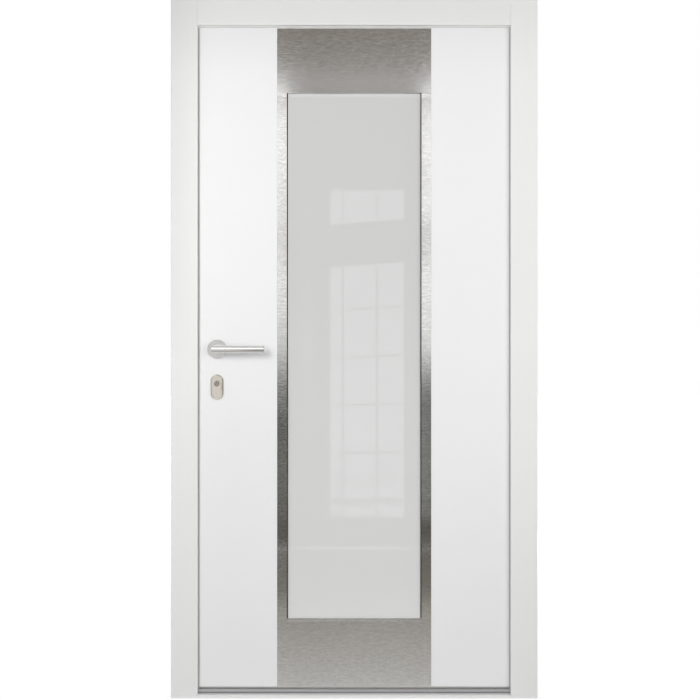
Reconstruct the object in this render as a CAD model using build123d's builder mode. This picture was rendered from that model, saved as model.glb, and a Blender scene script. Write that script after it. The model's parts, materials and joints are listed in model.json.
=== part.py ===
"""Metal front door: two-shell frame, insulated sheet-steel leaf with a glazed steel band, lever set."""

import os

from build123d import *

# Frame, in millimetres: x runs right as seen from outside, y runs indoors, z runs up
frame_width = 1100.0
frame_height = 2100.0
face_width = 80.0
stop_overhang = 22.0
stop_thickness = 15.0
extrusion_wall = 2.5
front_radius = 1.5
break_width = 14.0
strip_thickness = 2.5
strip_foot = 3.0
strip_setback = 2.0
sill_height = 9.0
sill_chamfer = 1.0
threshold_height = 14.0
threshold_nose = 6.0
threshold_groove = 5.0
groove_depth = 5.5
chamber_wall = 2.5

# Clearances around the leaf
leaf_gap = 9.0
seal_gap = 5.0
floor_gap = 6.0
soft_clearance = 0.5
running_clearance = 0.3
pin_clearance = 0.05

# Leaf
leaf_thickness = 65.0
skin = 1.5
bend_radius = 2.0
outer_flange = 22.0
inner_flange = 10.0
stile_width = 45.0
top_rail_height = 45.0
bottom_rail_height = 60.0

# Frame seal and leaf bottom seal
seal_foot_width = 5.0
seal_foot_depth = 3.0
seal_cover = 10.0
seal_peek = 3.0
bottom_seal_width = 9.0
bottom_seal_setback = 5.0

# Steel band and window
band_width = 464.0
band_sheet = 1.5
band_margin = 3.0
window_width = 406.0
window_bottom_margin = 197.0
window_top_margin = 200.5
sill_rise = 8.0
glass_recess = 11.5
gasket_thickness = 2.0
gasket_peek = 3.0
edge_cover = 12.0
edge_clearance = 2.0
sheet_clearance = 1.5
outer_pane = 6.0
middle_pane = 4.0
inner_pane = 6.0
cavity = 14.0
spacer_width = 7.0
spacer_inset = 2.0
trim_inset = 4.0
trim_leg = 8.0
trim_cover = 34.0
trim_flange = 4.0
trim_round = 1.0

# Lever set
backset = 70.0
handle_height = 1048.0
rosette_radius = 28.5
rosette_thickness = 6.0
rosette_step_radius = 21.0
rosette_step = 2.0
rosette_bevel = 1.2
lever_diameter = 23.0
lever_length = 145.0
lever_projection = 51.0
lever_end_radius = 1.5
spindle_width = 8.0
spindle_engagement = 25.0
spindle_hole_radius = 9.0

# Lock cylinder and escutcheons
cylinder_drop = 104.0
cylinder_radius = 8.5
cylinder_tail_width = 10.0
cylinder_tail_drop = 24.5
escutcheon_width = 38.0
escutcheon_height = 76.0
escutcheon_thickness = 8.0
escutcheon_bevel = 3.5
escutcheon_offset = 11.0
collar_width = 28.0
collar_height = 43.0
collar_thickness = 4.0
collar_bevel = 1.2
plug_setback = 0.75
keyway_width = 2.4
keyway_height = 9.0
keyway_depth = 4.0

# Lock edge and strikes
faceplate_width = 22.0
faceplate_thickness = 3.0
faceplate_bottom_margin = 151.0
faceplate_top_margin = 133.0
lock_setback = 38.5
bolt_width = 14.0
bolt_depth = 30.0
latch_height = 32.0
dead_bolt_height = 38.0
hook_height = 44.0
hook_bottom_margin = 391.0
hook_top_margin = 373.0
strike_width = 24.0
strike_margin = 34.0
strike_clearance = 2.0
keep_depth = 30.0
keep_wall = 1.5

# Hinges
hinge_bottom_margin = 271.0
hinge_top_margin = 233.0
hinge_length = 110.0
hinge_knuckle_radius = 9.0
hinge_pin_radius = 5.0
hinge_pin_head_radius = 8.0
hinge_pin_head = 3.0
hinge_axis_offset = 11.0
hinge_outer_knuckle = 30.0
hinge_plate_width = 38.0
hinge_plate_thickness = 4.0
hinge_plate_setback = 12.0
hinge_corner_radius = 4.0

# Anchor holes through the jambs
anchor_radius = 4.5
anchor_setback = 8.0
anchor_bottom_margin = 260.0
anchor_top_margin = 200.0
anchor_inner_pitch = 500.0

# Planes and limits that follow from the driving dimensions
half_width = frame_width / 2
frame_depth = stop_thickness + seal_gap + leaf_thickness
front = -frame_depth / 2
back = frame_depth / 2
body_width = face_width - stop_overhang
rebate_x = half_width - body_width
stop_x = half_width - face_width
stop_z = frame_height - face_width
rebate_z = frame_height - body_width
stop_back = front + stop_thickness
break_back = stop_back + break_width
break_wall = strip_foot + extrusion_wall
leaf_front = stop_back + seal_gap
leaf_back = back
leaf_half = rebate_x - leaf_gap
threshold_top = sill_height + threshold_height
leaf_bottom = threshold_top + floor_gap
leaf_top = rebate_z - leaf_gap
core_front = leaf_front + skin
core_back = leaf_back - skin
core_half = leaf_half - skin - stile_width
core_bottom = leaf_bottom + skin + bottom_rail_height
core_top = leaf_top - skin - top_rail_height
band_front = leaf_front - band_sheet
band_bottom = leaf_bottom + band_margin
band_top = stop_z - seal_peek - band_margin
window_half = window_width / 2
window_bottom = leaf_bottom + window_bottom_margin
window_top = stop_z - window_top_margin
glass_front = band_front + glass_recess
gasket_front = glass_front - gasket_thickness
glass_half = window_half + edge_cover
glass_bottom = window_bottom - edge_cover
glass_top = window_top + edge_cover
middle_front = glass_front + outer_pane + cavity
inner_front = middle_front + middle_pane + cavity
glass_back = inner_front + inner_pane
spindle_x = -(leaf_half - backset)
cylinder_z = handle_height - cylinder_drop
escutcheon_z = cylinder_z - escutcheon_offset
lever_radius = lever_diameter / 2
lock_y = leaf_front + lock_setback
hinge_x = leaf_half + leaf_gap / 2
hinge_y = leaf_back + hinge_axis_offset
lower_hinge = leaf_bottom + hinge_bottom_margin
upper_hinge = leaf_top - hinge_top_margin
hinge_heights = (lower_hinge, (lower_hinge + upper_hinge) / 2, upper_hinge)
anchor_y = back - anchor_setback
anchor_high = frame_height - anchor_top_margin
anchor_mid = (anchor_bottom_margin + anchor_high) / 2
anchor_pitches = (anchor_high - anchor_bottom_margin, anchor_inner_pitch)
faceplate_bottom = leaf_bottom + faceplate_bottom_margin
faceplate_top = leaf_top - faceplate_top_margin
hook_places = (leaf_bottom + hook_bottom_margin, leaf_top - hook_top_margin)
bolt_rows = {
    "latch_bolt": ((handle_height,), latch_height),
    "dead_bolt": ((cylinder_z,), dead_bolt_height),
    "hook_bolts": (hook_places, hook_height),
}
bolt_places = [(z, height) for places, height in bolt_rows.values() for z in places]
main_strike_low = cylinder_z - dead_bolt_height / 2 - strike_margin
main_strike_high = handle_height + latch_height / 2 + strike_margin
hook_strike_reach = hook_height / 2 + strike_margin
strike_rows = {
    "main_strike": [(main_strike_low, main_strike_high)],
    "hook_strikes": [(z - hook_strike_reach, z + hook_strike_reach) for z in hook_places],
}
strike_spans = [span for spans in strike_rows.values() for span in spans]


def upright(y):
    """Plane at depth y, drawn in x and z, from which a positive extrusion runs outdoors."""
    return Plane.XZ.offset(-y)


def rect(x0, x1, y0, y1, mode=Mode.ADD):
    """Rectangle between two corners of the current sketch."""
    with Locations(((x0 + x1) / 2, (y0 + y1) / 2)):
        Rectangle(abs(x1 - x0), abs(y1 - y0), mode=mode)


def cylinder_profile(grow):
    """Key-cylinder outline, grown on every side by a clearance."""
    with Locations((spindle_x, cylinder_z)):
        Circle(cylinder_radius + grow)
    half = cylinder_tail_width / 2 + grow
    rect(spindle_x - half, spindle_x + half, cylinder_z - cylinder_tail_drop - grow, cylinder_z)


def bolt_outlines(places, grow, mode=Mode.ADD):
    """Outlines of the bolts at these places in the lock edge, grown on every side by a clearance."""
    for bolt_z, bolt_height in places:
        with Locations((lock_y, bolt_z)):
            Rectangle(bolt_width + 2 * grow, bolt_height + 2 * grow, mode=mode)


def faceplate_outline():
    """Outline of the lock faceplate in the leaf's edge."""
    rect(lock_y - faceplate_width / 2, lock_y + faceplate_width / 2, faceplate_bottom, faceplate_top)


def save(piece, name):
    """Label a finished piece and write it as its own node."""
    piece.part.label = name
    export_step(piece.part, f"parts/{name}.step")


os.makedirs("parts", exist_ok=True)


# Frame sections: outer and inner shells with two plastic strips between, measured inward from the wall
chamber_front = front + extrusion_wall
chamber_back = back - extrusion_wall
groove_start = face_width - seal_cover
outer_section = [
    (0, face_width, front, stop_back, Mode.ADD),
    (extrusion_wall, body_width - extrusion_wall, chamber_front, stop_back - break_wall, Mode.SUBTRACT),
    (body_width, face_width - extrusion_wall, chamber_front, stop_back - break_wall, Mode.SUBTRACT),
    (groove_start, groove_start + seal_foot_width, stop_back - seal_foot_depth, stop_back, Mode.SUBTRACT),
]
inner_section = [
    (0, body_width, break_back, back, Mode.ADD),
    (extrusion_wall, body_width - extrusion_wall, break_back + break_wall, chamber_back, Mode.SUBTRACT),
]
strip_section = []
for strip_start in (strip_setback, body_width - strip_setback - strip_thickness):
    strip_end = strip_start + strip_thickness
    outer_section.append((strip_start, strip_end, stop_back - strip_foot, stop_back, Mode.SUBTRACT))
    inner_section.append((strip_start, strip_end, break_back, break_back + strip_foot, Mode.SUBTRACT))
    strip_section.append((strip_start, strip_end, stop_back - strip_foot, break_back + strip_foot, Mode.ADD))


def stand(section, side):
    """A jamb's length of a section, with its wall face on the left (-1) or the right (1)."""
    with BuildSketch(Plane.XY.offset(sill_height)) as outline:
        for near, far, y0, y1, mode in section:
            rect(side * (half_width - near), side * (half_width - far), y0, y1, mode)
    extrude(outline.sketch, amount=frame_height - sill_height)


def lay(section, half_length):
    """A head's length of a section, with its wall face up."""
    with BuildSketch(Plane.YZ.offset(-half_length)) as outline:
        for near, far, y0, y1, mode in section:
            rect(y0, y1, frame_height - near, frame_height - far, mode)
    extrude(outline.sketch, amount=2 * half_length)


# Jambs: full-height shells, the inner ones drilled for wall anchors and cut out for the strikes
for jamb, side in (("lock_jamb", -1), ("hinge_jamb", 1)):
    with BuildPart() as jamb_outer:
        stand(outer_section, side)
        fillet(jamb_outer.edges().filter_by(Axis.Z).group_by(Axis.Y)[0], front_radius)
    save(jamb_outer, f"{jamb}_outer")

    with BuildPart() as jamb_inner:
        stand(inner_section, side)
        with BuildSketch(Plane.YZ.offset(side * (half_width - body_width / 2))):
            for pitch in anchor_pitches:
                for end in (-1, 1):
                    with Locations((anchor_y, anchor_mid + end * pitch / 2)):
                        Circle(anchor_radius)
        extrude(amount=body_width, both=True, mode=Mode.SUBTRACT)
        if side < 0:
            with BuildSketch(Plane.YZ.offset(-rebate_x)):
                for low, high in strike_spans:
                    rect(lock_y - strike_width / 2, lock_y + strike_width / 2, low, high)
            extrude(amount=-extrusion_wall, mode=Mode.SUBTRACT)
    save(jamb_inner, f"{jamb}_inner")

# Head: the same shells laid across between the jambs
with BuildPart() as head_outer:
    lay(outer_section, stop_x)
    fillet(head_outer.edges().filter_by(Axis.X).group_by(Axis.Y)[0], front_radius)
save(head_outer, "head_outer")

with BuildPart() as head_inner:
    lay(inner_section, rebate_x)
save(head_inner, "head_inner")

# Thermal breaks: the strips that hold the shells of both jambs and the head together
with BuildPart() as thermal_breaks:
    stand(strip_section, -1)
    stand(strip_section, 1)
    lay(strip_section, stop_x)
save(thermal_breaks, "thermal_breaks")

# Sill base: the light strip that the jambs and the threshold stand on
with BuildPart() as sill_base:
    with BuildSketch(Plane.XY):
        rect(-half_width, half_width, front, back)
    extrude(amount=sill_height)
    chamfer(sill_base.faces().sort_by(Axis.Y)[0].edges().sort_by(Axis.Z)[-1], sill_chamfer)
save(sill_base, "sill_base")

# Threshold: grooved aluminium extrusion with two chambers
with BuildPart() as threshold:
    nose_bottom = threshold_top - threshold_nose
    groove_bottom = nose_bottom - threshold_groove
    with BuildSketch(Plane.YZ.offset(-rebate_x)):
        with BuildLine():
            Polyline(
                (stop_back, sill_height),
                (stop_back + sill_chamfer, groove_bottom),
                (stop_back + groove_depth, groove_bottom + sill_chamfer),
                (stop_back + groove_depth, nose_bottom - sill_chamfer),
                (stop_back, nose_bottom),
                (stop_back, threshold_top - threshold_nose / 2),
                (stop_back + threshold_nose / 2, threshold_top),
                (back, threshold_top),
                (back, sill_height),
                close=True,
            )
        make_face()
        chamber_start = stop_back + groove_depth + chamber_wall
        chamber_end = back - chamber_wall
        chamber_middle = (chamber_start + chamber_end) / 2
        chamber_low = sill_height + chamber_wall
        chamber_high = threshold_top - chamber_wall
        rect(chamber_start, chamber_middle - chamber_wall / 2, chamber_low, chamber_high, Mode.SUBTRACT)
        rect(chamber_middle + chamber_wall / 2, chamber_end, chamber_low, chamber_high, Mode.SUBTRACT)
    extrude(amount=2 * rebate_x)
save(threshold, "threshold")

# Frame seal: one rubber gasket round both jambs and the head, seen as a thin line beside the leaf
with BuildPart() as frame_seal:
    seal_back = leaf_front - soft_clearance
    seal_outer_x = stop_x + seal_cover
    seal_inner_x = stop_x - seal_peek
    seal_outer_z = stop_z + seal_cover
    seal_inner_z = stop_z - seal_peek
    with BuildSketch(upright(seal_back)):
        rect(-seal_outer_x, seal_outer_x, threshold_top, seal_outer_z)
        rect(-seal_inner_x, seal_inner_x, threshold_top, seal_inner_z, Mode.SUBTRACT)
    extrude(amount=seal_back - stop_back)
    with BuildSketch(upright(stop_back)):
        for side in (-1, 1):
            foot_x = side * seal_outer_x
            rect(foot_x, foot_x - side * seal_foot_width, threshold_top, stop_z)
        rect(-stop_x, stop_x, seal_outer_z - seal_foot_width, seal_outer_z)
    extrude(amount=seal_foot_depth)
save(frame_seal, "frame_seal")

# Strikes: plates let flush into the lock jamb, with a closed keep behind each bolt slot
for strike, spans in strike_rows.items():
    held = [place for place in bolt_places if any(low < place[0] < high for low, high in spans)]
    with BuildPart() as strike_plate:
        with BuildSketch(Plane.YZ.offset(-rebate_x)):
            for low, high in spans:
                rect(lock_y - strike_width / 2, lock_y + strike_width / 2, low, high)
        extrude(amount=-extrusion_wall)
        with BuildSketch(Plane.YZ.offset(-rebate_x)):
            bolt_outlines(held, strike_clearance + keep_wall)
        extrude(amount=-keep_depth - keep_wall)
        with BuildSketch(Plane.YZ.offset(-rebate_x)):
            bolt_outlines(held, strike_clearance)
        extrude(amount=-keep_depth, mode=Mode.SUBTRACT)
    save(strike_plate, strike)


# Leaf skins: two folded sheet pans that face each other
def leaf_openings(window_clearance):
    with Locations((spindle_x, handle_height)):
        Circle(spindle_hole_radius)
    cylinder_profile(running_clearance)
    half = window_half + window_clearance
    rect(-half, half, window_bottom - window_clearance, window_top + window_clearance)


with BuildPart() as outer_skin:
    with BuildSketch(upright(leaf_front + outer_flange)):
        rect(-leaf_half, leaf_half, leaf_bottom, leaf_top)
    extrude(amount=outer_flange)
    fillet(outer_skin.faces().sort_by(Axis.Y)[0].edges(), bend_radius)
    with BuildSketch(upright(leaf_front + outer_flange)):
        rect(skin - leaf_half, leaf_half - skin, leaf_bottom + skin, leaf_top - skin)
    extrude(amount=outer_flange - skin, mode=Mode.SUBTRACT)
    with BuildSketch(upright(core_front)):
        leaf_openings(band_sheet + sheet_clearance)
    extrude(amount=skin, mode=Mode.SUBTRACT)
save(outer_skin, "outer_skin")

with BuildPart() as inner_skin:
    with BuildSketch(upright(leaf_back)):
        rect(-leaf_half, leaf_half, leaf_bottom, leaf_top)
    extrude(amount=inner_flange)
    fillet(inner_skin.faces().sort_by(Axis.Y)[-1].edges(), bend_radius)
    with BuildSketch(upright(core_back)):
        rect(skin - leaf_half, leaf_half - skin, leaf_bottom + skin, leaf_top - skin)
    extrude(amount=inner_flange - skin, mode=Mode.SUBTRACT)
    with BuildSketch(upright(leaf_back)):
        leaf_openings(trim_leg - trim_inset + sheet_clearance)
    extrude(amount=skin, mode=Mode.SUBTRACT)
save(inner_skin, "inner_skin")


# Edge profiles of the leaf: two stiles with two rails between them
def stile(side):
    with BuildPart() as piece:
        with BuildSketch(Plane.XY.offset(leaf_bottom + skin)):
            rect(side * core_half, side * (core_half + stile_width), core_front, core_back)
        extrude(amount=leaf_top - leaf_bottom - 2 * skin)
        if side < 0:
            plate_bed = faceplate_thickness - skin
            with BuildSketch(Plane.YZ.offset(skin - leaf_half)):
                faceplate_outline()
            extrude(amount=plate_bed, mode=Mode.SUBTRACT)
            with BuildSketch(Plane.YZ.offset(skin - leaf_half)):
                bolt_outlines(bolt_places, running_clearance)
            extrude(amount=bolt_depth - skin, mode=Mode.SUBTRACT)
    return piece


lock_stile = stile(-1)
save(lock_stile, "lock_stile")
hinge_stile = stile(1)
save(hinge_stile, "hinge_stile")

with BuildPart() as top_rail:
    with BuildSketch(Plane.XY.offset(core_top)):
        rect(-core_half, core_half, core_front, core_back)
    extrude(amount=top_rail_height)
save(top_rail, "top_rail")

with BuildPart() as bottom_rail:
    with BuildSketch(Plane.XY.offset(leaf_bottom + skin)):
        rect(-core_half, core_half, core_front, core_back)
    extrude(amount=bottom_rail_height)
save(bottom_rail, "bottom_rail")

# Foam core with the glass and lock cut-outs
with BuildPart() as foam_core:
    with BuildSketch(upright(core_back)):
        rect(-core_half, core_half, core_bottom, core_top)
        glass_room = glass_half + edge_clearance
        rect(
            -glass_room,
            glass_room,
            glass_bottom - edge_clearance,
            glass_top + edge_clearance,
            Mode.SUBTRACT,
        )
    extrude(amount=core_back - core_front)
    with BuildSketch(upright(core_back)):
        with Locations((spindle_x, handle_height)):
            Circle(spindle_hole_radius)
        cylinder_profile(running_clearance)
    extrude(amount=core_back - core_front, mode=Mode.SUBTRACT)
save(foam_core, "foam_core")

# Leaf bottom seal
with BuildPart() as bottom_seal:
    with BuildSketch(Plane.XY.offset(threshold_top + soft_clearance)):
        seal_front = leaf_front + bottom_seal_setback
        rect(bend_radius - leaf_half, leaf_half - bend_radius, seal_front, seal_front + bottom_seal_width)
    extrude(amount=floor_gap - soft_clearance)
save(bottom_seal, "bottom_seal")

# Steel band: one sheet with its window edges folded back to the glass, the lower fold sloping outward
with BuildPart() as steel_band:
    with BuildSketch(upright(leaf_front)):
        rect(-band_width / 2, band_width / 2, band_bottom, band_top)
    extrude(amount=band_sheet)
    fold_half = window_half + band_sheet
    with BuildSketch(upright(gasket_front)):
        rect(-fold_half, fold_half, window_bottom, window_top + band_sheet)
    extrude(amount=gasket_front - band_front)
    with BuildSketch(upright(gasket_front)):
        rect(-window_half, window_half, window_bottom, window_top)
    extrude(amount=gasket_front - band_front, mode=Mode.SUBTRACT)
    with BuildSketch(Plane.YZ.offset(-fold_half)):
        with BuildLine():
            Polyline(
                (band_front, window_bottom),
                (gasket_front, window_bottom + sill_rise),
                (gasket_front, window_bottom + sill_rise - band_sheet),
                (band_front, window_bottom - band_sheet),
                close=True,
            )
        make_face()
    extrude(amount=2 * fold_half)
save(steel_band, "steel_band")

# Glazing gasket between the folded steel and the outer pane
with BuildPart() as glazing_gasket:
    with BuildSketch(upright(glass_front)):
        rect(-glass_half, glass_half, glass_bottom, glass_top)
        sight = window_half - gasket_peek
        rect(-sight, sight, window_bottom + sill_rise - band_sheet / 2, window_top, Mode.SUBTRACT)
    extrude(amount=gasket_thickness)
save(glazing_gasket, "glazing_gasket")


# Triple glazing: three panes with a spacer frame in each cavity
def pane(front_y, thickness):
    with BuildPart() as piece:
        with BuildSketch(upright(front_y + thickness)):
            rect(-glass_half, glass_half, glass_bottom, glass_top)
        extrude(amount=thickness)
    return piece


outer_glass = pane(glass_front, outer_pane)
save(outer_glass, "outer_glass")
middle_glass = pane(middle_front, middle_pane)
save(middle_glass, "middle_glass")
inner_glass = pane(inner_front, inner_pane)
save(inner_glass, "inner_glass")


with BuildPart() as glass_spacers:
    ring = glass_half - spacer_inset
    hole = ring - spacer_width
    step = spacer_inset + spacer_width
    for cavity_back in (middle_front, inner_front):
        with BuildSketch(upright(cavity_back)):
            rect(-ring, ring, glass_bottom + spacer_inset, glass_top - spacer_inset)
            rect(-hole, hole, glass_bottom + step, glass_top - step, Mode.SUBTRACT)
        extrude(amount=cavity)
save(glass_spacers, "glass_spacers")

# Inner trim: four mitred beads that press on the glass and cover the edge of the inner skin
trim_half = window_half - trim_inset
trim_bottom = window_bottom + trim_inset
trim_top = window_top - trim_inset


def trim_corners(grow):
    x = trim_half + grow
    low = trim_bottom - grow
    high = trim_top + grow
    return [(-x, low), (x, low), (x, high), (-x, high)]


for number, name in enumerate(("bottom_trim", "right_trim", "top_trim", "left_trim")):
    with BuildPart() as trim:
        for grow, start, depth in (
            (trim_leg, leaf_back, leaf_back - glass_back),
            (trim_cover, leaf_back + trim_flange, trim_flange),
        ):
            inner = trim_corners(0)
            outer = trim_corners(grow)
            following = (number + 1) % 4
            with BuildSketch(upright(start)):
                with BuildLine():
                    Polyline(outer[number], outer[following], inner[following], inner[number], close=True)
                make_face()
            extrude(amount=depth)
        along = Axis.X if number % 2 == 0 else Axis.Z
        fillet(trim.faces().sort_by(Axis.Y)[-1].edges().filter_by(along), trim_round)
    save(trim, name)

# Lock edge: faceplate with four bolts drawn back flush
with BuildPart() as lock_faceplate:
    with BuildSketch(Plane.YZ.offset(-leaf_half)):
        faceplate_outline()
        bolt_outlines(bolt_places, running_clearance, Mode.SUBTRACT)
    extrude(amount=faceplate_thickness)
save(lock_faceplate, "lock_faceplate")

for name, (places, bolt_height) in bolt_rows.items():
    with BuildPart() as bolt:
        with BuildSketch(Plane.YZ.offset(-leaf_half)):
            with Locations(*[(lock_y, bolt_z) for bolt_z in places]):
                Rectangle(bolt_width, bolt_height)
        extrude(amount=bolt_depth)
    save(bolt, name)

# Lock cylinder: one through body with a round plug and keyway at each end
with BuildPart() as lock_cylinder:
    outer_end = leaf_front - escutcheon_thickness
    inner_end = leaf_back + escutcheon_thickness
    with BuildSketch(upright(inner_end)):
        cylinder_profile(0)
    extrude(amount=inner_end - outer_end)
    plug_length = collar_thickness - plug_setback
    with BuildSketch(upright(inner_end + plug_length)):
        with Locations((spindle_x, cylinder_z)):
            Circle(cylinder_radius)
    extrude(amount=inner_end - outer_end + 2 * plug_length)
    for start in (inner_end + plug_length, outer_end - plug_length + keyway_depth):
        with BuildSketch(upright(start)):
            with Locations((spindle_x, cylinder_z)):
                Rectangle(keyway_width, keyway_height)
        extrude(amount=keyway_depth, mode=Mode.SUBTRACT)
save(lock_cylinder, "lock_cylinder")


# Escutcheons: bevelled oval plate with a raised collar round the cylinder plug
def escutcheon(side, face_y):
    foremost = 0 if side < 0 else -1
    with BuildPart() as piece:
        plate_face = face_y + side * escutcheon_thickness
        collar_face = plate_face + side * collar_thickness
        with BuildSketch(upright(face_y)):
            with Locations((spindle_x, escutcheon_z)):
                SlotOverall(escutcheon_height, escutcheon_width, rotation=90)
        extrude(amount=-side * escutcheon_thickness)
        chamfer(piece.faces().sort_by(Axis.Y)[foremost].edges(), escutcheon_bevel)
        with BuildSketch(upright(plate_face)):
            with Locations((spindle_x, escutcheon_z)):
                SlotOverall(collar_height, collar_width, rotation=90)
        extrude(amount=-side * collar_thickness)
        chamfer(piece.faces().sort_by(Axis.Y)[foremost].edges(), collar_bevel)
        with BuildSketch(upright(face_y)):
            cylinder_profile(running_clearance)
        extrude(amount=-side * escutcheon_thickness, mode=Mode.SUBTRACT)
        with BuildSketch(upright(collar_face)):
            with Locations((spindle_x, cylinder_z)):
                Circle(cylinder_radius + running_clearance)
        extrude(amount=side * collar_thickness, mode=Mode.SUBTRACT)
    return piece


outer_escutcheon = escutcheon(-1, leaf_front)
save(outer_escutcheon, "outer_escutcheon")
inner_escutcheon = escutcheon(1, leaf_back)
save(inner_escutcheon, "inner_escutcheon")


# Rosettes: stepped discs with a bearing hole for the lever neck
def rosette(side, face_y):
    foremost = 0 if side < 0 else -1
    with BuildPart() as piece:
        with BuildSketch(upright(face_y)):
            with Locations((spindle_x, handle_height)):
                Circle(rosette_radius)
        extrude(amount=-side * rosette_thickness)
        chamfer(piece.faces().sort_by(Axis.Y)[foremost].edges(), rosette_bevel)
        with BuildSketch(upright(face_y + side * rosette_thickness)):
            with Locations((spindle_x, handle_height)):
                Circle(rosette_step_radius)
        extrude(amount=-side * rosette_step)
        chamfer(piece.faces().sort_by(Axis.Y)[foremost].edges(), rosette_bevel)
        with BuildSketch(upright(face_y)):
            with Locations((spindle_x, handle_height)):
                Circle(lever_radius + running_clearance)
        extrude(amount=-side * (rosette_thickness + rosette_step), mode=Mode.SUBTRACT)
    return piece


outer_rosette = rosette(-1, leaf_front)
save(outer_rosette, "outer_rosette")
inner_rosette = rosette(1, leaf_back)
save(inner_rosette, "inner_rosette")


# Levers: one round bar each, mitred at the corner, with a square socket for the spindle
def lever(side, face_y):
    start_y = face_y + side * running_clearance
    grip_y = face_y + side * lever_projection
    with BuildPart() as piece:
        with BuildLine() as route:
            Polyline(
                (spindle_x, start_y, handle_height),
                (spindle_x, grip_y, handle_height),
                (spindle_x + lever_length, grip_y, handle_height),
            )
        with BuildSketch(Plane((spindle_x, start_y, handle_height), z_dir=(0, side, 0))):
            Circle(lever_radius)
        sweep(path=route.line, transition=Transition.RIGHT)
        fillet(piece.faces().sort_by(Axis.X)[-1].edges(), lever_end_radius)
        with BuildSketch(upright(start_y)):
            with Locations((spindle_x, handle_height)):
                Rectangle(spindle_width, spindle_width)
        extrude(amount=-side * spindle_engagement, mode=Mode.SUBTRACT)
    return piece


outer_lever = lever(-1, leaf_front)
save(outer_lever, "outer_lever")
inner_lever = lever(1, leaf_back)
save(inner_lever, "inner_lever")

with BuildPart() as spindle:
    spindle_front = leaf_front - running_clearance - spindle_engagement
    spindle_back = leaf_back + running_clearance + spindle_engagement
    with BuildSketch(upright(spindle_back)):
        with Locations((spindle_x, handle_height)):
            Rectangle(spindle_width, spindle_width)
    extrude(amount=spindle_back - spindle_front)
save(spindle, "spindle")

# Hinges: frame halves with two knuckles, leaf halves with one between them, and headed pins
knuckle_step = hinge_outer_knuckle + running_clearance


def hinge_half(side, low, high, knuckles):
    plate_near = hinge_x + side * hinge_plate_setback
    plate_far = plate_near + side * hinge_plate_width
    with BuildSketch(upright(back + hinge_plate_thickness)) as plate:
        rect(plate_near, plate_far, low, high)
        fillet(plate.vertices().sort_by(Axis.X, reverse=side > 0)[:2], hinge_corner_radius)
    extrude(plate.sketch, amount=hinge_plate_thickness)
    for knuckle_low, knuckle_high in knuckles:
        with BuildSketch(Plane.XY.offset(knuckle_low)) as knuckle:
            with Locations((hinge_x, hinge_y)):
                Circle(hinge_knuckle_radius)
            rect(hinge_x, plate_near + side * hinge_plate_thickness, back, hinge_y)
            with Locations((hinge_x, hinge_y)):
                Circle(hinge_pin_radius + pin_clearance, mode=Mode.SUBTRACT)
        extrude(knuckle.sketch, amount=knuckle_high - knuckle_low)


with BuildPart() as hinge_frame_halves:
    for centre in hinge_heights:
        low = centre - hinge_length / 2
        high = centre + hinge_length / 2
        hinge_half(1, low, high, [(low, low + hinge_outer_knuckle), (high - hinge_outer_knuckle, high)])
save(hinge_frame_halves, "hinge_frame_halves")

with BuildPart() as hinge_leaf_halves:
    for centre in hinge_heights:
        low = centre - hinge_length / 2
        high = centre + hinge_length / 2
        hinge_half(-1, low, high, [(low + knuckle_step, high - knuckle_step)])
save(hinge_leaf_halves, "hinge_leaf_halves")

with BuildPart() as hinge_pins:
    for centre in hinge_heights:
        low = centre - hinge_length / 2
        high = centre + hinge_length / 2
        for start, length, radius in (
            (low, hinge_length, hinge_pin_radius),
            (high, hinge_pin_head, hinge_pin_head_radius),
        ):
            with BuildSketch(Plane.XY.offset(start)):
                with Locations((hinge_x, hinge_y)):
                    Circle(radius)
            extrude(amount=length)
save(hinge_pins, "hinge_pins")
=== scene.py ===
"""Looks of the metal front door: materials, fasteners, studio and camera."""

import json
import math

import bmesh
import bpy
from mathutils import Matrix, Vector


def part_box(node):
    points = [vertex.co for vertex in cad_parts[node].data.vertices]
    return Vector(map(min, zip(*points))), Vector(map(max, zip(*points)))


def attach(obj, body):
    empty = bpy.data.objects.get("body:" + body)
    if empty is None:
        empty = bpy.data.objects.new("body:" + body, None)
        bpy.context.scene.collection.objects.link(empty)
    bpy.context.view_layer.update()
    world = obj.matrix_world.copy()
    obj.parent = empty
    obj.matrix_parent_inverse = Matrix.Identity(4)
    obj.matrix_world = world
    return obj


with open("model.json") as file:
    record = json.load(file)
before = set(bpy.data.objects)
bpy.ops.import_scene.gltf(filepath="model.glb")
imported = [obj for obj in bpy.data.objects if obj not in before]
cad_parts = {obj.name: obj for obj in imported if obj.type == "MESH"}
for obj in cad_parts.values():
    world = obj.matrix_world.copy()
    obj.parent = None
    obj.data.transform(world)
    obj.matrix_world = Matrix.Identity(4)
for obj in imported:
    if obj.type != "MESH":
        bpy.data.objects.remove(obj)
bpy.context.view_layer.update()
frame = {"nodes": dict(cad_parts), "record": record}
nodes = frame["nodes"]
scene = bpy.context.scene


# Material helpers
def start_material(name):
    """A new material with one Principled shader on its output."""
    made = bpy.data.materials.new(name)
    made.use_nodes = True
    tree = made.node_tree
    tree.nodes.clear()
    out = tree.nodes.new("ShaderNodeOutputMaterial")
    shader = tree.nodes.new("ShaderNodeBsdfPrincipled")
    tree.links.new(shader.outputs["BSDF"], out.inputs["Surface"])
    return made, tree, shader


def place(tree, stretch=(1, 1, 1)):
    """Object coordinates in metres, stretched along each axis."""
    coords = tree.nodes.new("ShaderNodeTexCoord")
    mapping = tree.nodes.new("ShaderNodeMapping")
    mapping.inputs["Scale"].default_value = stretch
    tree.links.new(coords.outputs["Object"], mapping.inputs["Vector"])
    return mapping.outputs["Vector"]


def coordinate(tree, axis):
    """One object coordinate in metres."""
    split = tree.nodes.new("ShaderNodeSeparateXYZ")
    tree.links.new(place(tree), split.inputs["Vector"])
    return split.outputs[axis]


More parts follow.
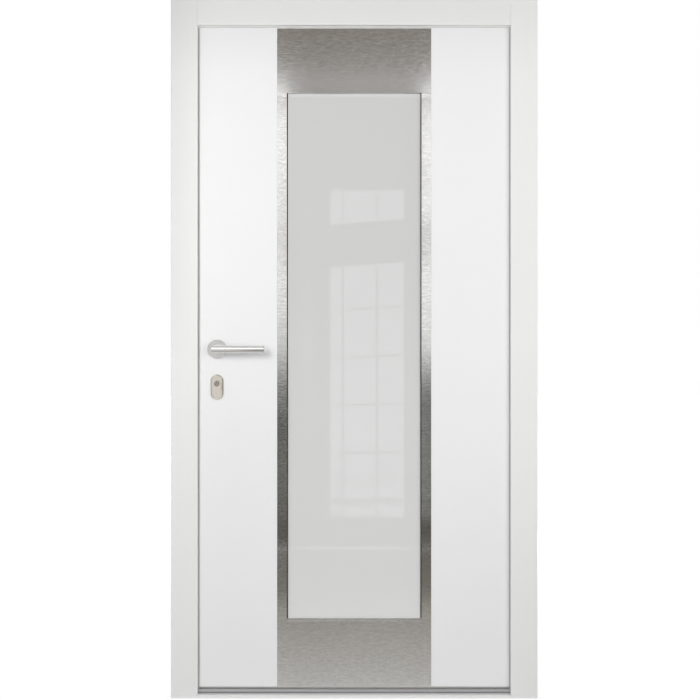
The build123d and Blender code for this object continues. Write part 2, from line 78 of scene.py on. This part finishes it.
def noise(tree, where, scale, detail=2.0, rough=0.5, distortion=0.0):
    """A noise factor; scale is about the number of features in a metre, unless where is stretched."""
    made = tree.nodes.new("ShaderNodeTexNoise")
    made.inputs["Scale"].default_value = scale
    made.inputs["Detail"].default_value = detail
    made.inputs["Roughness"].default_value = rough
    made.inputs["Distortion"].default_value = distortion
    tree.links.new(where, made.inputs["Vector"])
    return made.outputs["Fac"]


def spread(tree, value, low, high, start=0.3, end=0.7):
    """Maps a factor from start..end to low..high."""
    made = tree.nodes.new("ShaderNodeMapRange")
    made.inputs["From Min"].default_value = start
    made.inputs["From Max"].default_value = end
    made.inputs["To Min"].default_value = low
    made.inputs["To Max"].default_value = high
    tree.links.new(value, made.inputs["Value"])
    return made.outputs["Result"]


def calc(tree, kind, first, second):
    """One math node on two values, each a number or a socket."""
    made = tree.nodes.new("ShaderNodeMath")
    made.operation = kind
    for socket, value in zip(made.inputs, (first, second)):
        if isinstance(value, (int, float)):
            socket.default_value = value
        else:
            tree.links.new(value, socket)
    return made.outputs["Value"]


def colours(tree, value, dark, light, start=0.3, end=0.7):
    """A colour between two, by a factor from start to end."""
    made = tree.nodes.new("ShaderNodeValToRGB")
    first, last = made.color_ramp.elements
    first.position, first.color = start, (*dark, 1)
    last.position, last.color = end, (*light, 1)
    tree.links.new(value, made.inputs["Fac"])
    return made.outputs["Color"]


def relief(tree, shader, height, distance, strength):
    """Bumps of a height factor, distance metres deep."""
    made = tree.nodes.new("ShaderNodeBump")
    made.inputs["Strength"].default_value = strength
    made.inputs["Distance"].default_value = distance
    tree.links.new(height, made.inputs["Height"])
    tree.links.new(made.outputs["Normal"], shader.inputs["Normal"])


def shade(base, part):
    """A colour dimmed to a part of itself."""
    return tuple(channel * part for channel in base)


# Materials
def powder_coat(name, base, rough=0.42):
    """Satin powder coat: fine orange peel, faint cloudiness and uneven gloss."""
    made, tree, shader = start_material(name)
    where = place(tree)
    cloud = noise(tree, where, 3.5, 3.0)
    tree.links.new(colours(tree, cloud, shade(base, 0.985), base), shader.inputs["Base Color"])
    gloss = noise(tree, where, 60.0)
    tree.links.new(spread(tree, gloss, rough - 0.03, rough + 0.04), shader.inputs["Roughness"])
    peel = noise(tree, where, 650.0, 1.5)
    relief(tree, shader, peel, 0.00004, 0.6)
    return made


def plain_plastic(name, base, rough=0.6):
    """Matt moulded plastic or rubber with a fine grain."""
    made, tree, shader = start_material(name)
    where = place(tree)
    speck = noise(tree, where, 900.0)
    tree.links.new(colours(tree, speck, shade(base, 0.9), base), shader.inputs["Base Color"])
    smear = noise(tree, where, 25.0, 3.0)
    tree.links.new(spread(tree, smear, rough - 0.05, rough + 0.08), shader.inputs["Roughness"])
    relief(tree, shader, speck, 0.00005, 0.5)
    return made


def seal_with_painted_light(name, base, pale, change):
    """Soft rubber with painted shade making it grey on the uprights and painted light making it pale along
    the head, which starts at height change.
    """
    made, tree, shader = start_material(name)
    # Painted light: the uprights are painted dark as shade and the head run painted pale as light; the
    # small speckle on top is real dust
    height = spread(tree, coordinate(tree, "Z"), 0.0, 0.9, change - 0.006, change)
    dust = spread(tree, noise(tree, place(tree), 260.0, 3.0), 0.0, 0.1)
    painted_light_and_dust = calc(tree, "ADD", height, dust)
    tree.links.new(colours(tree, painted_light_and_dust, base, pale, 0.0, 1.0), shader.inputs["Base Color"])
    shader.inputs["Roughness"].default_value = 0.7
    relief(tree, shader, dust, 0.0001, 0.2)
    return made


def drawn_metal(name, base, rough, along, metal=1.0, streak=0.06):
    """Satin metal with fine lines along one axis."""
    made, tree, shader = start_material(name)
    stretch = [900.0, 900.0, 900.0]
    stretch[along] = 60.0
    lines = noise(tree, place(tree, stretch), 1.0, 3.0, 0.6)
    tree.links.new(colours(tree, lines, shade(base, 1 - streak), base), shader.inputs["Base Color"])
    tree.links.new(spread(tree, lines, rough - 0.5 * streak, rough + streak), shader.inputs["Roughness"])
    shader.inputs["Metallic"].default_value = metal
    shader.inputs["Anisotropic"].default_value = 0.3
    relief(tree, shader, lines, 0.00002, 0.05)
    return made


def brushed_band(name, base, low, high):
    """Brushed sheet with wavy streaks; the strips beside the window blur across, the blocks upright."""
    made, tree, shader = start_material(name)
    height = coordinate(tree, "Z")
    rise = spread(tree, height, 0.0, 1.0, low - 0.004, low + 0.012)
    fall = spread(tree, height, 1.0, 0.0, high - 0.002, high + 0.001)
    beside = calc(tree, "MULTIPLY", rise, fall)
    wavy = noise(tree, place(tree, (45, 45, 190)), 1.0, 4.0, 0.62, 0.3)
    fine = noise(tree, place(tree, (110, 110, 420)), 1.0, 2.0, 0.6, 0.2)
    brush = calc(tree, "ADD", calc(tree, "MULTIPLY", wavy, 0.5), calc(tree, "MULTIPLY", fine, 0.5))
    tree.links.new(colours(tree, brush, shade(base, 0.78), base, 0.34, 0.66), shader.inputs["Base Color"])
    grain = spread(tree, brush, -0.025, 0.025, 0.36, 0.64)
    sheen = spread(tree, beside, 0.125, 0.13, 0.0, 1.0)
    tree.links.new(calc(tree, "ADD", grain, sheen), shader.inputs["Roughness"])
    shader.inputs["Metallic"].default_value = 1.0
    shader.inputs["Anisotropic"].default_value = 1.0
    blur = tree.nodes.new("ShaderNodeMix")
    blur.data_type = "VECTOR"
    blur.inputs["A"].default_value = (0.0, 0.0, 1.0)
    blur.inputs["B"].default_value = (1.0, 0.0, 0.0)
    tree.links.new(beside, blur.inputs["Factor"])
    tree.links.new(blur.outputs["Result"], shader.inputs["Tangent"])
    relief(tree, shader, brush, 0.00003, 0.12)
    return made


def clear_pane(name, tint):
    """Clear pane with a faint tint and a trace of dust."""
    made, tree, shader = start_material(name)
    haze = noise(tree, place(tree), 6.0, 3.0)
    tree.links.new(colours(tree, haze, shade(tint, 0.985), tint), shader.inputs["Base Color"])
    tree.links.new(spread(tree, haze, 0.0, 0.02), shader.inputs["Roughness"])
    shader.inputs["IOR"].default_value = 1.45
    shader.inputs["Transmission Weight"].default_value = 1.0
    return made


def satin_pane(name, upper, lower, through, low, high):
    """Milky privacy pane with a polished face; its grey is painted paler at height low as painted light,
    where less light falls, and deepens to the plain grey by height high.
    """
    made, tree, shader = start_material(name)
    where = place(tree)
    # Painted light: the colour is paler near height low to make up for the weaker light there; the slow
    # cloud on top is real haze
    height = spread(tree, coordinate(tree, "Z"), 0.0, 0.96, low, high)
    cloud = spread(tree, noise(tree, where, 2.0, 3.0), 0.0, 0.04)
    painted_light_and_cloud = calc(tree, "ADD", height, cloud)
    tree.links.new(colours(tree, painted_light_and_cloud, lower, upper, 0.0, 1.0), shader.inputs["Base Color"])
    etch = noise(tree, where, 700.0)
    tree.links.new(spread(tree, etch, 0.4, 0.5), shader.inputs["Roughness"])
    shader.inputs["IOR"].default_value = 1.45
    shader.inputs["Specular IOR Level"].default_value = 0.0
    shader.inputs["Transmission Weight"].default_value = through
    shader.inputs["Coat Weight"].default_value = 1.0
    shader.inputs["Coat Roughness"].default_value = 0.0
    shader.inputs["Coat IOR"].default_value = 2.0
    return made


def foam(name, base):
    """Rigid foam with small cells."""
    made, tree, shader = start_material(name)
    cell = noise(tree, place(tree), 400.0, 3.0)
    tree.links.new(colours(tree, cell, shade(base, 0.8), base), shader.inputs["Base Color"])
    shader.inputs["Roughness"].default_value = 0.9
    relief(tree, shader, cell, 0.0003, 0.6)
    return made


# Heights that materials follow; the trim beads reach past the window's edges
trim_reach = 0.030
head_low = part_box("head_outer")[0].z
window_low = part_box("bottom_trim")[0].z + trim_reach
window_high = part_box("top_trim")[1].z - trim_reach
# Height where the milky pane's painted light has faded out to its plain grey
painted_light_end = 1.3
pane_upper, pane_painted_light_colour, pane_through = (0.775, 0.775, 0.77), (0.9, 0.9, 0.895), 0.12

# Finishes, one for each material slot
x_axis, y_axis, z_axis = range(3)
finishes = {
    "frame_coat": powder_coat("frame_coat", (0.85, 0.848, 0.84)),
    "leaf_coat": powder_coat("leaf_coat", (0.875, 0.875, 0.88)),
    "trim_coat": powder_coat("trim_coat", (0.87, 0.87, 0.875), 0.45),
    "hinge_coat": powder_coat("hinge_coat", (0.86, 0.855, 0.84), 0.38),
    "break_plastic": plain_plastic("break_plastic", (0.03, 0.03, 0.032)),
    "sill_plastic": plain_plastic("sill_plastic", (0.91, 0.91, 0.91), 0.5),
    "threshold_metal": drawn_metal("threshold_metal", (0.52, 0.515, 0.53), 0.34, x_axis),
    # The seal's grey uprights are painted shade and its pale head run is painted light
    "seal_rubber": seal_with_painted_light("seal_rubber", (0.4, 0.39, 0.37), (0.88, 0.88, 0.875), head_low),
    "gasket_rubber": plain_plastic("gasket_rubber", (0.05, 0.05, 0.05)),
    "lock_steel": drawn_metal("lock_steel", (0.62, 0.61, 0.6), 0.3, z_axis),
    "bolt_steel": drawn_metal("bolt_steel", (0.55, 0.55, 0.54), 0.32, x_axis),
    "edge_plastic": plain_plastic("edge_plastic", (0.12, 0.12, 0.125), 0.55),
    "core_foam": foam("core_foam", (0.75, 0.66, 0.4)),
    "band_steel": brushed_band("band_steel", (0.86, 0.85, 0.835), window_low, window_high),
    "outer_pane_glass": satin_pane(
        "outer_pane_glass", pane_upper, pane_painted_light_colour, pane_through, window_low, painted_light_end
    ),
    "pane_glass": clear_pane("pane_glass", (0.95, 0.955, 0.95)),
    "spacer_metal": drawn_metal("spacer_metal", (0.6, 0.6, 0.6), 0.35, z_axis),
    # The lock cylinder's dark metal is painted shade for its recessed plug and keyhole; its own colour is
    # the escutcheon's champagne
    "cylinder_metal": drawn_metal("cylinder_metal", (0.42, 0.395, 0.355), 0.26, y_axis, 0.9, 0.03),
    "escutcheon_metal": drawn_metal("escutcheon_metal", (0.85, 0.8, 0.725), 0.2, z_axis, 0.9, 0.03),
    "lever_steel": drawn_metal("lever_steel", (0.84, 0.835, 0.825), 0.24, x_axis, streak=0.012),
}
slots = {row["node"]: row["material_slot"] for row in frame["record"]["subparts"]}
for name, piece in nodes.items():
    piece.data.materials.clear()
    piece.data.materials.append(finishes[slots[name]])


# Fasteners
def screw_heads(name, body, places, facing, radius, finish="bolt_steel"):
    """Countersunk heads with a hexagon socket, seated on a face that looks along facing."""
    rise, sink, steps = radius * 0.12, radius * 0.55, 24
    turn = Vector(facing).to_track_quat("Z", "X").to_matrix()
    shape = bmesh.new()
    for spot in places:
        rings = []
        for size, height, six in (
            (1.0, -0.2 * rise, False),
            (0.97, 0.55 * rise, False),
            (0.88, rise, False),
            (0.5, rise, True),
            (0.46, rise - 0.15 * sink, True),
            (0.44, rise - sink, True),
        ):
            ring = []
            for step in range(steps):
                angle = math.tau * step / steps
                reach = size * radius
                if six:
                    reach /= math.cos(angle % (math.pi / 3) - math.pi / 6)
                point = Vector((reach * math.cos(angle), reach * math.sin(angle), height))
                ring.append(shape.verts.new(Vector(spot) + turn @ point))
            rings.append(ring)
        for lower, upper in zip(rings, rings[1:]):
            for step in range(steps):
                after = (step + 1) % steps
                shape.faces.new((lower[step], lower[after], upper[after], upper[step]))
        shape.faces.new(rings[-1])
        shape.faces.new(rings[0][::-1])
    for face in shape.faces:
        face.smooth = True
    mesh = bpy.data.meshes.new(name)
    shape.to_mesh(mesh)
    shape.free()
    mesh.set_sharp_from_angle(angle=math.radians(35))
    piece = bpy.data.objects.new(name, mesh)
    scene.collection.objects.link(piece)
    mesh.materials.append(finishes[finish])
    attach(piece, body)
    return piece


# Hinge screws: three on each plate, the middle one further from the knuckle
hinge_low, hinge_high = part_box("hinge_frame_halves")
leaf_plate_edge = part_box("hinge_leaf_halves")[0].x
hinge_length, plate_thickness, edge_distance = 0.11, 0.004, 0.016
screw_pitch, middle_step, hinge_screw_radius = 0.038, 0.006, 0.0045
plate_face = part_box("inner_skin")[1].y + plate_thickness
hinge_middle = (hinge_low.z + hinge_high.z) / 2
hinge_spots = [hinge_low.z + hinge_length / 2, hinge_middle, hinge_high.z - hinge_length / 2]


def plate_places(x, step):
    """Screw places on the three plates in one line, with the middle ones moved sideways by step."""
    row = ((0.0, -screw_pitch), (step, 0.0), (0.0, screw_pitch))
    return [(x + aside, plate_face, z + rise) for z in hinge_spots for aside, rise in row]


frame_places = plate_places(hinge_high.x - edge_distance, middle_step)
leaf_places = plate_places(leaf_plate_edge + edge_distance, -middle_step)
screw_heads("hinge_frame_screws", "frame", frame_places, (0, 1, 0), hinge_screw_radius)
screw_heads("hinge_leaf_screws", "leaf", leaf_places, (0, 1, 0), hinge_screw_radius)

# Lock screws: one near each end of every strike, and six along the faceplate
strike_low, strike_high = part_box("main_strike")
hook_low, hook_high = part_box("hook_strikes")
lock_y = (strike_low.y + strike_high.y) / 2
hook_span, strike_inset, faceplate_inset, lock_screw_radius = 0.112, 0.016, 0.02, 0.004
strike_spots = []
strike_bottoms = (strike_low.z, hook_low.z, hook_high.z - hook_span)
strike_tops = (strike_high.z, hook_low.z + hook_span, hook_high.z)
for bottom, top in zip(strike_bottoms, strike_tops):
    strike_spots += [bottom + strike_inset, top - strike_inset]
strike_places = [(strike_high.x, lock_y, z) for z in strike_spots]
screw_heads("strike_screws", "frame", strike_places, (1, 0, 0), lock_screw_radius)
plate_low, plate_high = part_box("lock_faceplate")
plate_spots = [plate_low.z + faceplate_inset, plate_high.z - faceplate_inset]
plate_spots += [plate_low.z + part * (plate_high.z - plate_low.z) for part in (0.27, 0.36, 0.54, 0.72)]
faceplate_places = [(plate_low.x, lock_y, z) for z in plate_spots]
screw_heads("faceplate_screws", "leaf", faceplate_places, (-1, 0, 0), lock_screw_radius)

# Grub screws: one below each lever's neck, just outside the rosette
spindle_low, spindle_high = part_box("spindle")
neck_x = (spindle_low.x + spindle_high.x) / 2
grub_sink, grub_distance, grub_radius = 0.0001, 0.009, 0.0022
neck_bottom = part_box("outer_lever")[0].z + grub_sink
neck_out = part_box("outer_rosette")[0].y - grub_distance
neck_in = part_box("inner_rosette")[1].y + grub_distance
grub_places = [(neck_x, y, neck_bottom) for y in (neck_out, neck_in)]
screw_heads("lever_grub_screws", "lever_set", grub_places, (0, 0, -1), grub_radius)


# Studio helpers
def flat_card(name, corners, material):
    """A flat piece of the studio."""
    mesh = bpy.data.meshes.new(name)
    mesh.from_pydata([Vector(c) for c in corners], [], [tuple(range(len(corners)))])
    mesh.materials.append(material)
    made = bpy.data.objects.new(name, mesh)
    scene.collection.objects.link(made)
    return made


def seen_ray(tree):
    """1 for rays that show the background itself: camera, glossy and transmission rays."""
    path = tree.nodes.new("ShaderNodeLightPath")
    first = calc(tree, "MAXIMUM", path.outputs["Is Camera Ray"], path.outputs["Is Glossy Ray"])
    return calc(tree, "MAXIMUM", first, path.outputs["Is Transmission Ray"])


# Floor: white where it is seen, with a diffuse grey that takes the door's shadow
def floor_finish(name, grey, near_level, far_level, near_reach, far_reach):
    """White that is a little lower near the door, added to a diffuse grey."""
    made = bpy.data.materials.new(name)
    made.use_nodes = True
    tree = made.node_tree
    tree.nodes.clear()
    out = tree.nodes.new("ShaderNodeOutputMaterial")
    both = tree.nodes.new("ShaderNodeAddShader")
    lit = tree.nodes.new("ShaderNodeBsdfDiffuse")
    lit.inputs["Color"].default_value = (grey, grey, grey, 1)
    glow = tree.nodes.new("ShaderNodeEmission")
    reach = tree.nodes.new("ShaderNodeVectorMath")
    reach.operation = "LENGTH"
    tree.links.new(place(tree), reach.inputs[0])
    level = spread(tree, reach.outputs["Value"], near_level, far_level, near_reach, far_reach)
    tree.links.new(calc(tree, "MULTIPLY", seen_ray(tree), level), glow.inputs["Strength"])
    tree.links.new(lit.outputs["BSDF"], both.inputs[0])
    tree.links.new(glow.outputs["Emission"], both.inputs[1])
    tree.links.new(both.outputs["Shader"], out.inputs["Surface"])
    return made


floor_half = 15
floor_corners = [(-floor_half, -floor_half), (floor_half, -floor_half)]
floor_corners += [(floor_half, floor_half), (-floor_half, floor_half)]
floor_material = floor_finish(
    "floor", grey=0.2, near_level=0.86, far_level=1.0, near_reach=1.5, far_reach=4.0
)
floor = flat_card("floor", [(x, y, 0) for x, y in floor_corners], floor_material)
# Diffuse rays pass the floor, so that the world also lights the door from below
floor.visible_diffuse = False


# Cards that only reflections show
def card_material(name, strength, tint=(1, 1, 1)):
    """An even glow."""
    made = bpy.data.materials.new(name)
    made.use_nodes = True
    tree = made.node_tree
    tree.nodes.clear()
    out = tree.nodes.new("ShaderNodeOutputMaterial")
    glow = tree.nodes.new("ShaderNodeEmission")
    glow.inputs["Color"].default_value = (*tint, 1)
    glow.inputs["Strength"].default_value = strength
    tree.links.new(glow.outputs["Emission"], out.inputs["Surface"])
    return made


def ramp_material(name, axis, start, end, stops):
    """A glow whose colour runs along one axis, from start to end, through the stops."""
    made = card_material(name, 1.0)
    tree = made.node_tree
    ramp = tree.nodes.new("ShaderNodeValToRGB")
    first, last = ramp.color_ramp.elements
    first.position, first.color = stops[0][0], (*stops[0][1], 1)
    last.position, last.color = stops[-1][0], (*stops[-1][1], 1)
    for spot, colour in stops[1:-1]:
        ramp.color_ramp.elements.new(spot).color = (*colour, 1)
    tree.links.new(spread(tree, coordinate(tree, axis), 0.0, 1.0, start, end), ramp.inputs["Fac"])
    tree.links.new(ramp.outputs["Color"], tree.nodes["Emission"].inputs["Color"])
    return made


def reflection_card(name, corners, material):
    """A card that only reflections show."""
    made = flat_card(name, corners, material)
    made.visible_camera = False
    made.visible_diffuse = False
    made.visible_transmission = False
    made.visible_volume_scatter = False
    made.visible_shadow = False
    return made


def wall_card(name, left, right, low, high, y, material):
    """An upright reflection card that faces the door."""
    corners = [(left, y, low), (right, y, low), (right, y, high), (left, y, high)]
    return reflection_card(name, corners, material)


def floor_card(name, left, right, front, back, z, material):
    """A level reflection card."""
    corners = [(left, front, z), (right, front, z), (right, back, z), (left, back, z)]
    return reflection_card(name, corners, material)


# What the steel and the glass mirror: a dim room with bright walls left and right above hand height
band_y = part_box("steel_band")[0].y
far, near, top_front = band_y - 8.0, band_y - 2.5, band_y - 1.0
room_half, room_high, gap_left, gap_right = 6.0, 4.5, -0.56, 0.635
# Heights of the cards on the floor, which lie just above one another
near_z, dim_z, pale_z = 0.004, 0.008, 0.012
dim = card_material("dim", 0.12, (1.0, 0.95, 0.85))
# Heights and levels of the side walls, which the strips beside the window mirror
side_tint = (0.985, 0.99, 1.0)
side_levels = [
    (0.0, 0.05),
    (0.45, 0.08),
    (0.62, 0.4),
    (0.85, 1.2),
    (1.47, 1.5),
    (1.83, 1.3),
    (2.55, 1.75),
    (2.95, 1.75),
    (3.15, 1.1),
    (3.25, 0.45),
]
side_stops = [(height / room_high, shade(side_tint, level)) for height, level in side_levels]
side_light = ramp_material("side_light", "Z", 0.0, room_high, side_stops)
upper_low = 3.22
upper_grey = card_material("upper_grey", 0.75)
wall_card("dim_wall", -room_half, room_half, 0, room_high, far - 0.02, dim)
wall_card("left_wall", -room_half, gap_left, 0, room_high, far, side_light)
wall_card("right_wall", gap_right, room_half, 0, room_high, far, side_light)
wall_card("upper_wall", gap_left, gap_right, upper_low, room_high, far, upper_grey)

# The room's floor, brighter close to the door, in the lower block and the feet of the strips
near_stops = [
    (0.0, (0.58, 0.575, 0.56)),
    (0.2, (0.46, 0.45, 0.43)),
    (0.42, (0.38, 0.37, 0.34)),
    (0.62, (0.2, 0.19, 0.17)),
    (1.0, (0.15, 0.14, 0.125)),
]
near_grey = ramp_material("near_grey", "Y", band_y, near, near_stops)
floor_card("dim_floor", -room_half, room_half, far, near, dim_z, dim)
floor_card("near_floor", -room_half, room_half, near, band_y - 0.05, near_z, near_grey)

# The canopy in the upper block, and what is above and beside the door
top_low, top_high, canopy_high, canopy_half = 1.975, 2.23, 3.2, 3
top_stops = [
    (0.0, (1.2, 1.19, 1.2)),
    (0.16, (0.75, 0.74, 0.74)),
    (0.34, (0.34, 0.325, 0.31)),
    (0.6, (0.27, 0.25, 0.23)),
    (1.0, (0.26, 0.24, 0.215)),
]
top_grey = ramp_material("top_grey", "Z", top_low, top_high, top_stops)
wall_card("top_card", -canopy_half, canopy_half, top_low, canopy_high, top_front, top_grey)
ceiling_z, ceiling_front, ceiling_back = 3.4, -1.2, 2.0
over_left, over_right, over_front = -2.0, 1.5, -3.2
overhead = card_material("overhead", 2.8)
floor_card("overhead_card", over_left, over_right, over_front, ceiling_front, ceiling_z, overhead)
dark_ceiling = card_material("dark_ceiling", 0.4, (1.0, 0.97, 0.93))
floor_card("ceiling_card", -canopy_half, canopy_half, ceiling_front, ceiling_back, ceiling_z, dark_ceiling)
side_x, side_front, side_back, side_high = 2.6, -3.5, -0.1, 2.6
side_places = [(side_front, 0), (side_back, 0), (side_back, side_high), (side_front, side_high)]
side_dark = card_material("side_dark", 0.18, (1.0, 0.94, 0.86))
reflection_card("right_dark_wall", [(side_x, y, z) for y, z in side_places], side_dark)

# What the handle and the escutcheon mirror: grey from below and ahead, bright from above
fitting_left, fitting_right, fitting_y = -0.66, -0.41, band_y - 1.0
fitting_low, fitting_high, rosette_high = 0.78, 0.965, 1.13
pale_left, pale_right, pale_front, pale_back = -1.8, -0.62, band_y - 2.6, band_y - 0.25
pale_floor = card_material("pale_floor", 0.48)
floor_card("pale_floor", pale_left, pale_right, pale_front, pale_back, pale_z, pale_floor)
fitting_light = card_material("fitting_light", 0.88)
wall_card("fitting_card", fitting_left, fitting_right, fitting_low, fitting_high, fitting_y, fitting_light)
lever_grey = card_material("lever_grey", 0.72, (1, 0.985, 0.965))
wall_card(
    "lever_low_card", left=-0.6, right=-0.35, low=0.84, high=0.985, y=band_y - 0.35, material=lever_grey
)
lever_light = card_material("lever_light", 1.6)
wall_card("lever_card", left=-0.62, right=-0.37, low=1.19, high=1.9, y=band_y - 0.6, material=lever_light)
rosette_grey = card_material("rosette_grey", 0.55)
wall_card("rosette_card", fitting_left, fitting_right, fitting_high, rosette_high, fitting_y, rosette_grey)


# Faint paned window that the glass reflects, with dark foliage in its lower panes
def window_light(name, tint, bright, dark, growth_low, growth_high):
    """A glow with dark leaves that thin out from height growth_low to height growth_high."""
    made = card_material(name, 1.0, tint)
    tree = made.node_tree
    leaves = spread(tree, noise(tree, place(tree, (16, 16, 30)), 1.0, 3.0, 0.6), 0.0, 1.0, 0.5, 0.54)
    growth = spread(tree, coordinate(tree, "Z"), 0.9, 0.0, growth_low, growth_high)
    brightness = spread(tree, calc(tree, "MULTIPLY", leaves, growth), bright, dark, 0.0, 1.0)
    tree.links.new(brightness, tree.nodes["Emission"].inputs["Strength"])
    return made


pane_light = window_light(
    "pane_light", (0.955, 1.0, 0.975), bright=0.72, dark=0.3, growth_low=0.2, growth_high=0.56
)
pane_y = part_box("outer_glass")[0].y - 2.4
pane_left, pane_right, upright, crossbar = -0.113, 0.252, 0.009, 0.0085
columns = [0.0, 0.18, 0.632, 1.0]
casement_top, first_row, row_height, casement_bottom = 1.384, 0.213, 0.2285, 0.172
transom_low, transom_high, transom_slope = 1.58, 1.757, 0.031
level_height, tilt = 0.35, 0.0267


def reflected(name, left, right, low, high, rises=(0.0, 0.0, 0.0, 0.0)):
    """One bright pane; rises lift its four corners, lower left first and anticlockwise."""
    places = zip((left, right, right, left), (low, low, high, high), rises)
    reflection_card(f"reflected_{name}", [(x, pane_y, z + rise) for x, z, rise in places], pane_light)


def slope(z):
    """How far a bar at height z climbs from the window's left edge to its right one."""
    return tilt * max(z - level_height, 0.0)


bars = [casement_top] + [casement_top - first_row - k * row_height for k in range(5)] + [casement_bottom]
rows = [(low, high, slope(low), slope(high)) for high, low in zip(bars, bars[1:])]
rows.append((transom_low, transom_high, transom_slope, 0.0))
for row, (row_low, row_high, low_slope, high_slope) in enumerate(rows):
    for column, (start, end) in enumerate(zip(columns, columns[1:])):
        left, right = (pane_left + part * (pane_right - pane_left) for part in (start, end))
        rises = (low_slope * start, low_slope * end, high_slope * end, high_slope * start)
        reflected(
            f"pane_{row}_{column}",
            left + upright / 2,
            right - upright / 2,
            row_low + crossbar / 2,
            row_high - crossbar / 2,
            rises,
        )
reflected("upper_streak", left=-0.22, right=-0.2155, low=1.57, high=1.742)
reflected("lower_streak", left=-0.222, right=-0.2175, low=0.61, high=1.36)
reflected("ledge", left=-0.17, right=0.225, low=0.027, high=0.033)


# World: white where it is seen, a plain level where it lights
def studio_world(name, seen_level, light_level):
    """A white world with one level for rays that show it and one for its light."""
    made = bpy.data.worlds.new(name)
    made.use_nodes = True
    tree = made.node_tree
    tree.nodes.clear()
    out = tree.nodes.new("ShaderNodeOutputWorld")
    choose = tree.nodes.new("ShaderNodeMixShader")
    tree.links.new(seen_ray(tree), choose.inputs["Fac"])
    for socket, level in ((choose.inputs[1], light_level), (choose.inputs[2], seen_level)):
        white = tree.nodes.new("ShaderNodeBackground")
        white.inputs["Color"].default_value = (1, 1, 1, 1)
        white.inputs["Strength"].default_value = level
        tree.links.new(white.outputs["Background"], socket)
    tree.links.new(choose.outputs["Shader"], out.inputs["Surface"])
    return made


scene.world = studio_world("studio", seen_level=1.0, light_level=0.4)


# Lamps: a small key from the left that sets the shadows, a broad fill from the right, and one for the back
def lamp(name, spot, target, size, power):
    """A square lamp that points at target and that neither steel nor glass mirrors."""
    made = bpy.data.lights.new(name, "AREA")
    made.shape = "SQUARE"
    made.size = size
    made.energy = power
    holder = bpy.data.objects.new(name, made)
    holder.location = spot
    holder.rotation_euler = (Vector(target) - Vector(spot)).to_track_quat("-Z", "Y").to_euler()
    holder.visible_glossy = False
    holder.visible_transmission = False
    scene.collection.objects.link(holder)
    return holder


lamp("key", spot=(-1.2, -2.8, 1.85), target=(-0.2, 0.0, 1.1), size=1.0, power=38.0)
lamp("fill", spot=(1.6, -2.6, 1.25), target=(0.1, 0.0, 1.2), size=1.8, power=27.5)
lamp("back", spot=(0.4, 3.2, 1.5), target=(0.0, 0.0, 1.2), size=2.0, power=62.0)


# Flags: cards that only throw soft shadows, so that head and jamb ends get less light than the leaf
def flag(name, y, outline):
    """An upright card that no ray but a shadow ray meets; outline holds its corners as x and z."""
    made = flat_card(name, [(x, y, z) for x, z in outline], dim)
    made.visible_camera = False
    made.visible_glossy = False
    made.visible_diffuse = False
    made.visible_transmission = False
    return made


flag("head_flag", -1.0, [(-1.15, 2.05), (0.0, 2.05), (0.0, 2.7), (-1.15, 2.7)])
flag("left_flag", -0.6, [(-1.0, 1.27), (-0.735, 1.27), (-0.662, 2.3), (-1.0, 2.3)])
flag("right_flag", -0.6, [(0.67, 0.05), (1.1, 0.05), (1.1, 0.75), (0.86, 0.75)])

# Camera: square on, a little left of the door's middle, 4 m from the frame's face
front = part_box("head_outer")[0].y
distance, view_width, camera_x, camera_z = 4.0, 2.1, -0.0126, 1.15
camera_data = bpy.data.cameras.new("camera")
camera_data.sensor_width = 36.0
camera_data.lens = camera_data.sensor_width * distance / view_width
camera_data.shift_y = -0.0498
camera = bpy.data.objects.new("camera", camera_data)
camera.location = (camera_x, front - distance, camera_z)
camera.rotation_euler = (math.pi / 2, 0, 0)
scene.collection.objects.link(camera)
scene.camera = camera
scene.view_settings.view_transform = "Standard"
